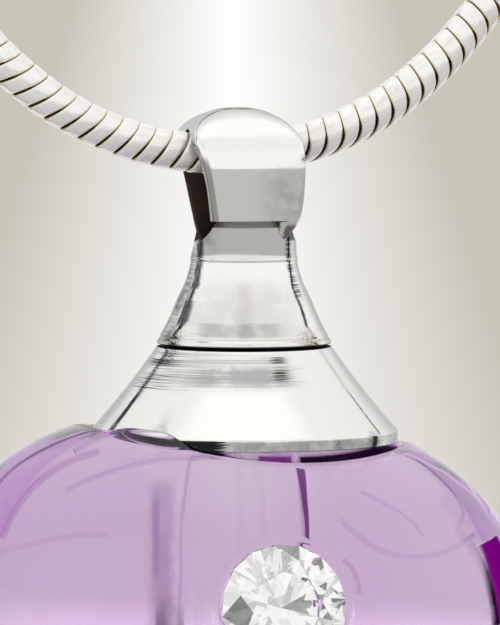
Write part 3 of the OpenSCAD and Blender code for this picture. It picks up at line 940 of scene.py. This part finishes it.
def flowArc(tree, flat, arc):
    # circle through the three places: soft line on it, faded at both ends
    a, b, c = [picturePlace(pixel) for pixel in arc["pixels"]]
    matrix = 2 * np.array([b - a, c - a])
    centre = np.linalg.solve(matrix, np.array([b @ b - a @ a, c @ c - a @ a]))
    radius = np.linalg.norm(a - centre)
    middle = (b - centre) / radius
    half = 0.5 * ((a - centre) @ middle + (c - centre) @ middle) / radius
    out = vectorCalc(tree, "SUBTRACT", flat, (centre[0], centre[1], 0))
    far = vectorCalc(tree, "LENGTH", out)
    unit = vectorCalc(tree, "NORMALIZE", out)
    along = vectorCalc(tree, "DOT_PRODUCT", unit, (middle[0], middle[1], 0))
    off = calc(tree, "ABSOLUTE", minus(tree, far, radius))
    width = arc["width"] / cameraSettings["pixelsPerMm"]
    line = fade(tree, off, width * arc.get("core", 0.3), width)
    return times(tree, line, spread(tree, along, half, half + 0.15 * (1 - half)))


def lavenderGlass(name, look, stone):
    material, tree, shader = newMaterial(name, look["plain"])
    feed(tree, shader, {"Transmission Weight": 1, "IOR": look["ior"], "Roughness": 0})
    place = pendantPlace(tree)
    slow = grain(tree, 0.35, detail=1)
    wobble = times(tree, minus(tree, grain(tree, 0.8, detail=2), 0.5), 0.2)
    flat = node(tree, "ShaderNodeCombineXYZ", {"X": plus(tree, place["across"], wobble),
                                               "Y": plus(tree, place["level"], wobble)}).outputs[0]
    forward = calc(tree, "MULTIPLY_ADD", place["across"], look["frontTurn"], place["depth"])
    front = spread(tree, forward, *look["front"])
    press = 0.0
    colour = (1, 1, 1, 1)
    # painted reflection lines and flow lines, each a darker tint on the surface
    for arc in glassFlowAndReflections:
        facing = spread(tree, forward, *arc.get("forward", look["front"]))
        line = times(tree, flowArc(tree, flat, arc), facing)
        tint = look["dark"] if arc.get("dark") else look["flow"]
        colour = mixColour(tree, times(tree, line, arc["tint"]), colour, tint)
        press = calc(tree, "MULTIPLY_ADD", line, arc["press"], press)
        if arc.get("dark"):
            # painted deep colour and sheen at the edge, which the pale room would wash out
            sheen = mixColour(tree, line, (1, 1, 1, 1), look["darkSheen"])
            feed(tree, shader, {"Metallic": line, "Specular Tint": sheen})
    rough = minus(tree, grain(tree, 2.2, detail=4), 0.5)
    # painted shade where the chamber shows through, on the side towards the picture's camera
    for shade in glassShades:
        middle, top = picturePlace((shade["middle"], shade["rows"][0]))
        half = shade["half"] / cameraSettings["pixelsPerMm"]
        foot = picturePlace((0, shade["rows"][1]))[1]
        drift = times(tree, rough, shade["ragged"] / cameraSettings["pixelsPerMm"] * 3)
        off = calc(tree, "ABSOLUTE", plus(tree, minus(tree, place["across"], middle), drift))
        tall = between(tree, place["level"], foot, top, 0.35)
        strip = times(tree, fade(tree, off, half * 0.35, half), tall, front, shade["tint"])
        colour = mixColour(tree, strip, colour, look["shade"])
    # a little more colour below the shoulder
    colour = mixColour(tree, spread(tree, place["level"], -6.8, -5.0, 0.10, 0.0), colour, look["flow"])
    # the land under the rim shows nearly black, with clear stretches between
    s = rimShadow
    shadow = times(tree, spread(tree, place["radius"], *s["inner"]), fade(tree, place["radius"], *s["outer"]),
                   spread(tree, place["depth"], *s["forward"]), fade(tree, place["level"], *s["top"]))
    along = plus(tree, place["across"], wobble)
    for low, high in s["clear"]:
        clear = between(tree, along, low, high, 0.08)
        shadow = times(tree, shadow, calc(tree, "MULTIPLY_ADD", clear, -s["clearShare"], 1))
    dark = mixColour(tree, between(tree, along, *s["magentaFrom"], 0.1), s["black"], s["magenta"])
    colour = mixColour(tree, shadow, colour, dark)
    # a low raised ring round the stone
    away = vectorCalc(tree, "DISTANCE", place["vector"], stone["place"])
    offRing = calc(tree, "ABSOLUTE", minus(tree, away, stone["radius"] + look["ringGap"]))
    ring = fade(tree, offRing, 0.0, look["ringHalf"])
    normal = bump(tree, slow, look["waveDepth"])
    normal = bump(tree, press, -1.0, normal)
    normal = bump(tree, ring, look["ringHeight"], normal)
    feed(tree, shader, {"Base Color": colour, "Normal": normal})
    absorb = node(tree, "ShaderNodeVolumeAbsorption", {"Color": look["absorb"], "Density": look["density"]})
    tree.links.new(absorb.outputs[0], tree.nodes["Material Output"].inputs["Volume"])
    return material


glassBody = makeGlass(glassShape, stoneShape)
dress(glassBody, lavenderGlass("lavenderGlass", glassLook, stoneShape), "vessel", "lavender_glass", "glass")
print("glass made,", len(glassBody.data.polygons), "faces")


# Stone

def makeStone(s):
    # round brilliant: a table, 8 stars, 8 bezels, 16 upper halves, a girdle, 16 lower halves, 8 mains
    half = s["girdle"] / 2
    k = np.arange(8)
    eighth = math.pi / 4
    turned = math.radians(7)

    def ring(radius, height, angles):
        return np.stack([radius * np.cos(angles), radius * np.sin(angles), np.full(len(angles), height)], -1)

    crownSlope = (s["crown"] - half) / (s["radius"] - s["tableRadius"])
    starLevel = s["crown"] - (s["starRadius"] * math.cos(eighth / 2) - s["tableRadius"]) * crownSlope
    mainSlope = (s["pavilion"] - half) / s["radius"]
    lowerLevel = -s["pavilion"] + s["lowerRadius"] * math.cos(eighth / 2) * mainSlope
    whole = k * eighth + turned
    between = whole + eighth / 2
    sixteen = np.arange(16) * eighth / 2 + turned
    points = np.vstack([ring(s["tableRadius"], s["crown"], whole), ring(s["starRadius"], starLevel, between),
                        ring(s["radius"], half, sixteen), ring(s["radius"], -half, sixteen),
                        ring(s["lowerRadius"], lowerLevel, between), [(0, 0, -s["pavilion"])]])
    table, star, upper, under, low, tip = 0, 8, 16, 32, 48, 56
    after, before = (k + 1) % 8, (k - 1) % 8
    faces = [tuple(table + k)]
    faces += np.stack([table + k, star + k, table + after], -1).tolist()
    faces += np.stack([table + k, star + before, upper + 2 * k, star + k], -1).tolist()
    faces += np.stack([star + k, upper + 2 * k, upper + 2 * k + 1], -1).tolist()
    faces += np.stack([star + k, upper + 2 * k + 1, upper + (2 * k + 2) % 16], -1).tolist()
    j = np.arange(16)
    faces += np.stack([upper + j, under + j, under + (j + 1) % 16, upper + (j + 1) % 16], -1).tolist()
    faces += np.stack([low + k, under + 2 * k + 1, under + 2 * k], -1).tolist()
    faces += np.stack([low + k, under + (2 * k + 2) % 16, under + 2 * k + 1], -1).tolist()
    faces += np.stack([np.full(8, tip), low + k, under + 2 * k, low + before], -1).tolist()
    stone = meshObject("roundStone", onPendant(onStoneSeat(points, s)), faces)
    # painted dark reflections: how dark each facet looks, a fixed pattern over the halves and mains
    tone = np.ones(len(faces))
    order = np.arange(len(faces))
    tone[(order * 7) % 11 < 1] = 0.7
    tone[(order * 5) % 13 < 1] = 0.06
    tone[0] = 1.0
    storeValues(stone, "paintedFacetReflection", tone, "FACE")
    return stone


def clearStone(name, look):
    material, tree, shader = newMaterial(name, look["plain"])
    # painted dark reflections on some facets
    tone = stored(tree, "paintedFacetReflection")
    feed(tree, shader, {"Base Color": mixColour(tree, tone, look["dark"], look["clear"])})
    feed(tree, shader, {"Transmission Weight": 1, "IOR": look["ior"], "Roughness": 0})
    return material


roundStone = makeStone(stoneShape)
dress(roundStone, clearStone("clearStone", stoneLook), "vessel", "clear_stone", "stone")
print("stone made")


# Chain and clasp

chainShape = {
    # one side of the centreline, from the clasp to the lowest point in the bail
    "halfRoute": [
        (5, 0, 0), (17, -1.8, -0.4), (31, -8, -1.8), (43.7, -18, -4.2), (53.4, -31, -7.8),
        (59.4, -46, -12.6), (61.4, -62, -18.8), (59.6, -77.8, -26.8), (53.8, -91.6, -36.8),
        (45.4, -102.8, -48.8), (35.8, -111, -61.6), (26.4, -116.8, -74), (18.6, -120.8, -84.8),
        (13.9, -123, -91.2), (11, -123.7, -95), (8.6, -124, -97.6), (6, -124.15, -99.5),
        (3, -124.2, -100.66), (0, -124.2, -101),
    ],
    "loopNormal": (0, 0.62, -0.78), "samples": 48,
    "radius": 0.8, "coreRadius": 0.64, "pitch": 0.74, "faceAngle": 51.5,
    # how a link's two edges run round the chain, and its open gap: right and left of the bail
    "slant": (0.52, 0.31), "curl": (0.137, -0.02), "bow": (0.32, 0.03), "openGap": (0.10, 0.07),
    "closedGap": 0.02,
    "fineReach": 15.0,          # how far from the bail each way the links have all their roundings
}
claspShape = {"radius": 1.4, "length": 10.0, "edge": 0.4, "columns": 72}


def chainLine(s):
    # cubic through the route's points; each heading is the mean of its two spans, and the
    # chain leaves both ends of the clasp straight along X
    half = np.array(s["halfRoute"], float)
    route = np.vstack([half, half[-2::-1] * (-1, 1, 1)])
    span = np.diff(route, axis=0)
    length = np.linalg.norm(span, axis=1, keepdims=True)
    heading = np.ones((len(route), 3)) * (1.0, 0, 0)
    heading[1:-1] = unitRows(span[1:] / length[1:] * length[:-1] + span[:-1] / length[:-1] * length[1:])
    t = np.linspace(0, 1, s["samples"], endpoint=False)[None, :, None]
    a, b = route[:-1, None], route[1:, None]
    m, n = heading[:-1, None] * length[:, None], heading[1:, None] * length[:, None]
    line = (a * (1 - 3 * t ** 2 + 2 * t ** 3) + m * (t - 2 * t ** 2 + t ** 3)
            + b * (3 * t ** 2 - 2 * t ** 3) + n * (t ** 3 - t ** 2)).reshape(-1, 3)
    line = np.vstack([line, route[-1:]])
    travelled = np.concatenate([[0], np.cumsum(np.linalg.norm(np.diff(line, axis=0), axis=1))])
    return line, travelled


def alongChain(distance, line, travelled):
    return np.stack([np.interp(distance, travelled, line[:, i]) for i in range(3)], -1)


def chainFrames(distance, line, travelled, s):
    # place, direction, and the two directions across the chain at each distance
    place = alongChain(distance, line, travelled)
    ahead = unitRows(alongChain(distance + 0.35, line, travelled) - alongChain(distance - 0.35, line,
                                                                               travelled))
    outwards = -np.array(s["loopNormal"]) - 0 * ahead
    outwards = unitRows(outwards - (outwards * ahead).sum(-1, keepdims=True) * ahead)
    return place, ahead, outwards, np.cross(outwards, ahead)


def makeLinks(name, distance, profile, columns, line, travelled, s):
    # every link is one closed ring: the profile (share of the width, radius, edge tone) carried
    # round. Turn 0 looks forward and 90 degrees up; both edges run along the chain by
    # -(slant sin t - curl sin 2t - bow (1 - cos t)), and the gap opens on the lower front.
    place, ahead, outwards, beside = [v[:, None, None, :] for v in chainFrames(distance, line, travelled, s)]
    turn = np.linspace(0, 2 * math.pi, columns, endpoint=False)
    lean = (turn - math.radians(s["faceAngle"]))[None, None, :, None]
    side = smoothStep(distance - travelled[-1] / 2, -1.5, 1.5)[:, None]
    slant, curl, bow, openGap = [s[key][0] + (s[key][1] - s[key][0]) * side
                                 for key in ("slant", "curl", "bow", "openGap")]
    down = -np.sin(turn)
    gap = smoothStep(down, -0.3, 0.25) * (1 - smoothStep(down, 0.84, 0.95))
    wide = s["pitch"] - s["closedGap"] - (openGap - s["closedGap"]) * gap
    swing = -(slant * np.sin(turn) - curl * np.sin(2 * turn) - bow * (1 - np.cos(turn)))
    along = (profile[:, 0][None, :, None] * wide[:, None, :] + swing[:, None, :])[..., None]
    radius = profile[:, 1][None, :, None, None]
    points = place + ahead * along + radius * (np.cos(lean) * outwards - np.sin(lean) * beside)
    count, rows = len(distance), len(profile)
    quads = gridQuads(rows, columns, closeRows=True)
    quads = (quads[None] + np.arange(count)[:, None, None] * rows * columns).reshape(-1, 4)
    piece = addObject(name, points.reshape(-1, 3) * mm, [quads], 180)
    tone = np.broadcast_to(profile[:, 2][None, :, None], (count, rows, columns))
    storeValues(piece, "edgeTone", tone)
    # how far each point faces down, for the painted shade on the undersides
    storeValues(piece, "undersideShade", np.broadcast_to(down, tone.shape))
    # a place on the unrolled link for the brushed grain, drawn out along the chain
    brushed = np.stack(np.broadcast_arrays(np.cos(turn) * radius[..., 0], np.sin(turn) * radius[..., 0],
                                           0.22 * (distance[:, None, None] + along[..., 0])), -1)
    storeValues(piece, "brushed", brushed, kind="FLOAT_VECTOR")
    return piece


def makeCore(line, travelled, s):
    # a plain tube inside the links, along the whole line
    distance = np.linspace(0.5, travelled[-1] - 0.5, 420)
    place, ahead, outwards, beside = chainFrames(distance, line, travelled, s)
    turn = np.linspace(0, 2 * math.pi, 14, endpoint=False)
    grid = place[:, None] + s["coreRadius"] * (np.cos(turn)[None, :, None] * outwards[:, None]
                                               - np.sin(turn)[None, :, None] * beside[:, None])
    rows, columns = grid.shape[:2]
    points = np.vstack([grid.reshape(-1, 3), place[:1], place[-1:]])
    return addObject("chainCore", points * mm, [gridQuads(rows, columns), poleFans(rows, columns)], 60)


def makeClasp(s):
    # a barrel turned about X, its ends rounded, with a shallow groove near each
    share = np.linspace(0, math.pi / 2, 9)
    half, r, e = s["length"] / 2, s["radius"], s["edge"]
    end = np.stack([half - e + e * np.sin(share), r - e + e * np.cos(share)], -1)
    groove = np.array([(half - 1.5, r), (half - 1.44, r - 0.05), (half - 1.32, r - 0.05), (half - 1.26, r)])
    side = np.vstack([[(0.0, r)], groove, end, [(half, 0.86)]])
    profile = np.vstack([side[::-1], side[1:] * (-1, 1)])
    turn = np.linspace(0, 2 * math.pi, s["columns"], endpoint=False)
    grid = np.stack([np.broadcast_to(profile[:, :1], (len(profile), len(turn))),
                     profile[:, 1:] * np.cos(turn), profile[:, 1:] * np.sin(turn)], -1)
    rows, columns = grid.shape[:2]
    points = np.vstack([grid.reshape(-1, 3), [(half, 0, 0)], [(-half, 0, 0)]])
    return addObject("barrelClasp", points * mm, [gridQuads(rows, columns), poleFans(rows, columns)], 35)


chainPoints, chainTravel = chainLine(chainShape)
chainLength = chainTravel[-1]
linkCount = int(round(chainLength / chainShape["pitch"]))
linkPlaces = (np.arange(linkCount) + 0.5) * chainLength / linkCount
nearBail = np.abs(linkPlaces - chainLength / 2) < chainShape["fineReach"]
ringOuter = chainShape["radius"]
fineProfile = np.array([
    (-0.5, ringOuter - 0.2, 1), (-0.5, ringOuter - 0.09, 1), (-0.475, ringOuter - 0.045, 0.8),
    (-0.42, ringOuter - 0.015, 0.25), (-0.3, ringOuter - 0.002, 0), (0, ringOuter, 0),
    (0.3, ringOuter - 0.002, 0), (0.42, ringOuter - 0.015, 0.1), (0.475, ringOuter - 0.045, 0.5),
    (0.5, ringOuter - 0.09, 1), (0.5, ringOuter - 0.2, 1), (0, ringOuter - 0.22, 1)])
plainProfile = np.array([
    (-0.5, ringOuter - 0.12, 1), (-0.4, ringOuter - 0.01, 0.2), (0.4, ringOuter - 0.01, 0.2),
    (0.5, ringOuter - 0.12, 1)])
chainMetal = satinChain("satinChain", chainTones)
for name, places, profile, columns in (("nearLinks", linkPlaces[nearBail], fineProfile, 56),
                                       ("backLinks", linkPlaces[~nearBail], plainProfile, 14)):
    links = makeLinks(name, places, profile, columns, chainPoints, chainTravel, chainShape)
    dress(links, chainMetal, "chain", "chain_silver", "chain")
chainCore = makeCore(chainPoints, chainTravel, chainShape)
dress(chainCore, darkCore("darkCore", chainTones), "chain", "chain_silver", "chain")
barrelClasp = makeClasp(claspShape)
# the clasp has no turning lines, so their levels lie far above it
claspLook = {"lines": (200, 201), "lineDepth": 0.001, "waveDepth": 0.01}
dress(barrelClasp, polishedSilver("polishedClasp", claspLook), "chain", "polished_silver", "clasp")
print("chain of", linkCount, "links made, length", round(chainLength, 1))


# Floor, studio and lights

stageSettings = {
    "floorLevel": -0.165, "floorRadius": 0.30, "floorFade": 0.16,
    "floorColour": (0.76, 0.755, 0.74, 1),
}
studioSettings = {
    # the room in front: its colour at the horizon, then from each pair of heights in degrees on
    "frontLow": (0.54, 0.537, 0.528, 1),
    "fronts": [((1.0, 2.6), (0.97, 0.965, 0.955, 1)), ((25, 42), (0.92, 0.915, 0.90, 1)),
               ((58, 68), (1.04, 1.04, 1.035, 1))],
    "overhead": (0.80, 0.78, 0.74, 1), "overheadHeights": (38, 60, 8), "overheadSides": (158, 176),
    # the backdrop sheet, its bright upright band, and where it ends
    "sheetCentre": (1.0, 1.0, 1.0, 1), "sheetSide": (0.59, 0.555, 0.485, 1), "sheetFar": (1.02, 1.01, 1.0, 1),
    "bandMiddle": -0.087, "bandHalf": 0.93, "bandWidening": 0.305, "bandLevel": -1.96,
    "sheetFarSides": (1.6, 4.5), "sheetFoot": (-7.0, -5.4), "sheetSides": (58, 62), "sheetTop": (26, 27),
    # the dark gaps round the sheet, and the wall that the camera sees past it
    "dark": (0.012, 0.013, 0.02, 1), "softDark": (0.045, 0.045, 0.05, 1), "darkShare": 0.97,
    "rightGap": ((59.5, 61.5), (66, 68)), "leftGap": ((-82, -73), (-58, -50)), "leftRagged": 22.0,
    "topLine": 26.5, "wall": (0.66, 0.655, 0.64, 1), "wallFrom": (4, 12),
}
softboxSettings = {"place": (-0.45, -0.35, 0.35), "size": (0.35, 0.35), "power": 0.5}



def makeFloor(s):
    # a disc of rings round the point below the pendant; its edge fades out
    rows, columns = 12, 96
    turn = np.linspace(0, 2 * math.pi, columns, endpoint=False)
    radius = np.linspace(0.05, 1, rows)[:, None] * s["floorRadius"]
    grid = np.stack([radius * np.cos(turn), radius * np.sin(turn), np.zeros((rows, columns))], -1).reshape(-1,
                                                                                                           3)
    centre = np.array([0, seamCentre[1] * 0.6, s["floorLevel"]])
    points = np.vstack([grid, [(0, 0, 0)]]) + centre
    c = np.arange(columns)
    fan = np.stack([np.full(columns, len(grid)), c, (c + 1) % columns], -1)
    floor = meshObject("paleFloor", points, gridQuads(rows, columns)[:, ::-1].tolist() + fan.tolist())
    material, tree, shader = newMaterial("paleFloor", s["floorColour"])
    coordinates = node(tree, "ShaderNodeTexCoord").outputs["Object"]
    away = vectorCalc(tree, "DISTANCE", coordinates, tuple(centre))
    paper = grain(tree, 0.5, detail=5, centre=(0, 0, 0))
    tone = mixColour(tree, paper, s["floorColour"], tuple(c * 0.97 for c in s["floorColour"][:3]) + (1,))
    feed(tree, shader, {"Base Color": tone})
    feed(tree, shader, {"Roughness": 0.8})
    shade = fade(tree, away, s["floorFade"], s["floorRadius"] * 0.99)
    feed(tree, shader, {"Alpha": shade})
    floor.data.materials.append(material)
    floor.visible_glossy = False


def makeStudio(s):
    # radiance by direction: x right, y away from the picture's camera, z up, angles in degrees
    world = bpy.data.worlds.new("studio")
    bpy.context.scene.world = world
    world.use_nodes = True
    tree = world.node_tree
    direction = node(tree, "ShaderNodeTexCoord").outputs["Generated"]
    turn = math.radians(-cameraSettings["azimuth"])
    turned = node(tree, "ShaderNodeVectorRotate", {"Vector": direction, "Angle": turn},
                  rotation_type="Z_AXIS")
    parts = node(tree, "ShaderNodeSeparateXYZ", {0: turned.outputs[0]}).outputs
    degrees = 180 / math.pi
    around = times(tree, calc(tree, "ARCTAN2", parts["X"], parts["Y"]), degrees)
    above = times(tree, calc(tree, "ARCSINE", parts["Z"]), degrees)
    aside = calc(tree, "ABSOLUTE", around)
    cloud = node(tree, "ShaderNodeTexNoise", {"Vector": turned.outputs[0], "Scale": 14.0, "Detail": 5.0})
    mottle = cloud.outputs["Fac"]
    # front studio: grey under the horizon, white above it, a little duller overhead
    front = s["frontLow"]
    for heights, colour in s["fronts"]:
        front = mixColour(tree, spread(tree, above, *heights), front, colour)
    overhead = times(tree, between(tree, above, *s["overheadHeights"]),
                     spread(tree, aside, *s["overheadSides"]))
    front = mixColour(tree, overhead, front, s["overhead"])
    # backdrop sheet: a bright upright band on beige, paler further out
    offBand = calc(tree, "ABSOLUTE", minus(tree, around, s["bandMiddle"]))
    below = minus(tree, s["bandLevel"], above)
    half = calc(tree, "MAXIMUM", calc(tree, "MULTIPLY_ADD", below, s["bandWidening"], s["bandHalf"]), 0.3)
    fall = calc(tree, "MINIMUM", calc(tree, "DIVIDE", offBand, half), 1.0)
    sheet = mixColour(tree, fall, s["sheetCentre"], s["sheetSide"])
    sheet = mixColour(tree, spread(tree, aside, *s["sheetFarSides"]), sheet, s["sheetFar"])
    sheet = mixColour(tree, fade(tree, above, *s["sheetFoot"]), sheet, s["sheetFar"])
    inside = times(tree, fade(tree, aside, *s["sheetSides"]), fade(tree, above, *s["sheetTop"]))
    sky = mixColour(tree, inside, front, sheet)
    # dark gaps at the sheet's two sides, the left one softer, and a line along its top
    underTop = fade(tree, above, 26, 28)
    right = times(tree, spread(tree, around, *s["rightGap"][0]), fade(tree, around, *s["rightGap"][1]),
                  underTop)
    ragged = plus(tree, around, times(tree, minus(tree, mottle, 0.5), s["leftRagged"]))
    left = times(tree, spread(tree, ragged, *s["leftGap"][0]), fade(tree, ragged, *s["leftGap"][1]), underTop,
                 spread(tree, mottle, 0.4, 0.62, 1.0, 0.7))
    thick = spread(tree, around, -12, 6, 2.0, 0.6)
    high = calc(tree, "DIVIDE", calc(tree, "ABSOLUTE", minus(tree, above, s["topLine"])), thick)
    top = times(tree, fade(tree, high, 0.6, 1.2), fade(tree, aside, 62, 68))
    sky = mixColour(tree, left, sky, s["softDark"])
    sky = mixColour(tree, times(tree, calc(tree, "MAXIMUM", right, top), s["darkShare"]), sky, s["dark"])
    # seen past the sheet's edge, the studio is a plain pale wall
    seen = node(tree, "ShaderNodeLightPath").outputs["Is Camera Ray"]
    sky = mixColour(tree, times(tree, seen, spread(tree, aside, *s["wallFrom"])), sky, s["wall"])
    background = node(tree, "ShaderNodeBackground", {"Color": sky, "Strength": 1.0})
    output = next((n for n in tree.nodes if n.type == "OUTPUT_WORLD"), None)
    output = output or node(tree, "ShaderNodeOutputWorld")
    tree.links.new(background.outputs[0], output.inputs["Surface"])


def softLight(name, place, size, power):
    # an area light that faces the pendant and doesn't show in reflections
    data = bpy.data.lights.new(name, "AREA")
    data.shape = "RECTANGLE"
    data.size, data.size_y = size
    data.energy = power
    light = bpy.data.objects.new(name, data)
    bpy.context.scene.collection.objects.link(light)
    light.location = Vector(seamCentre) + Vector(place)
    light.rotation_euler = (-Vector(place)).to_track_quat("-Z", "Y").to_euler()
    light.visible_glossy = False


makeFloor(stageSettings)
makeStudio(studioSettings)
softLight("leftSoftbox", **softboxSettings)
bpy.context.scene.view_settings.view_transform = "Standard"
bpy.context.scene.cycles.glossy_bounces = 12
bpy.context.scene.cycles.transmission_bounces = 20
bpy.context.scene.cycles.max_bounces = 24
print("studio lit")
